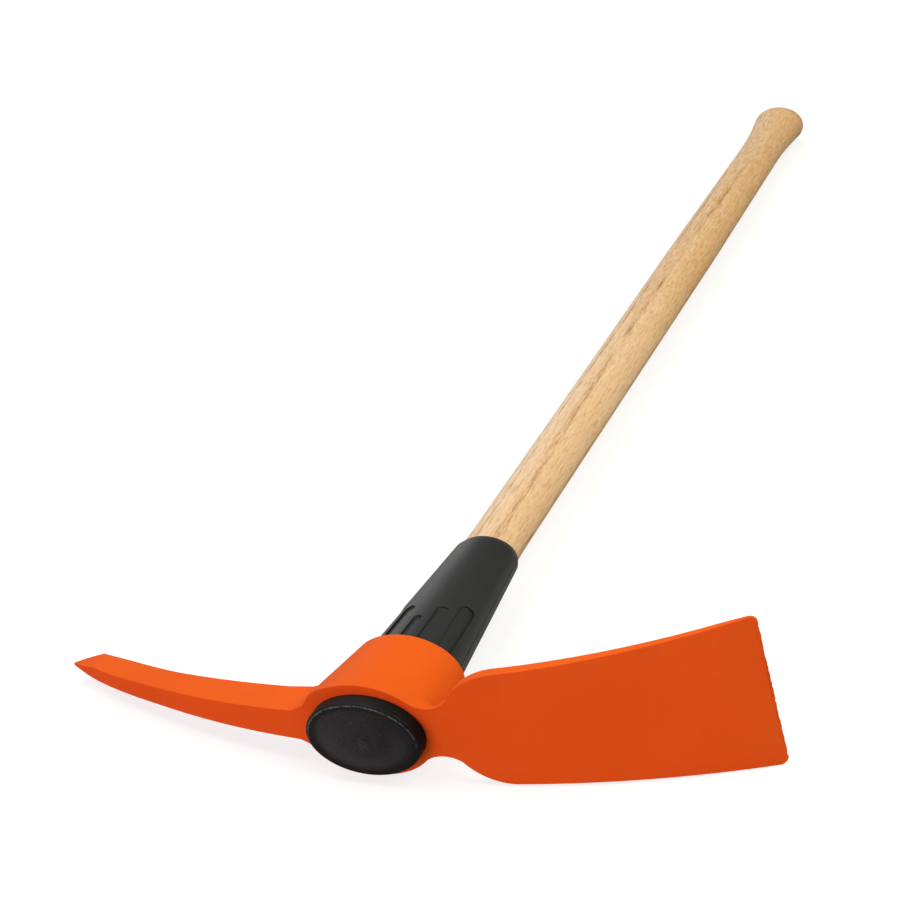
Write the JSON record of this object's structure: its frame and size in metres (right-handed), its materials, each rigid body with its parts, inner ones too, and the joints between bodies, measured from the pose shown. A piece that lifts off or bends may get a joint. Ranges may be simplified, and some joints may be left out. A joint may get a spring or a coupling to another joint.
{
  "type": "pick mattock",
  "caption": "Pick mattock with a curved forged head, a pointed pick and a flared adze, on an oval wooden handle with a tapered plastic sleeve and an end cap over the eye.",
  "frame": {"origin": "middle of the end cap's flat outer face, on the handle's axis", "axes": "+X towards the adze, +Y along the handle towards the knob, +Z square to the tool's flat plane, so the tool lies on its side"},
  "size_m": [0.4924, 0.924, 0.1038],
  "materials": {
    "orange_coat": "satin powder coat on forged steel",
    "ash_wood": "sanded pale ash with a thin clear lacquer",
    "sleeve_plastic": "satin moulded plastic",
    "cap_plastic": "dull moulded plastic with light scuffs"
  },
  "bodies": {
    "root": {"head": "orange_coat", "handle": "ash_wood", "sleeve_upper": "sleeve_plastic", "sleeve_lower": "sleeve_plastic", "end_cap": "cap_plastic"}
  },
  "joints": []
}
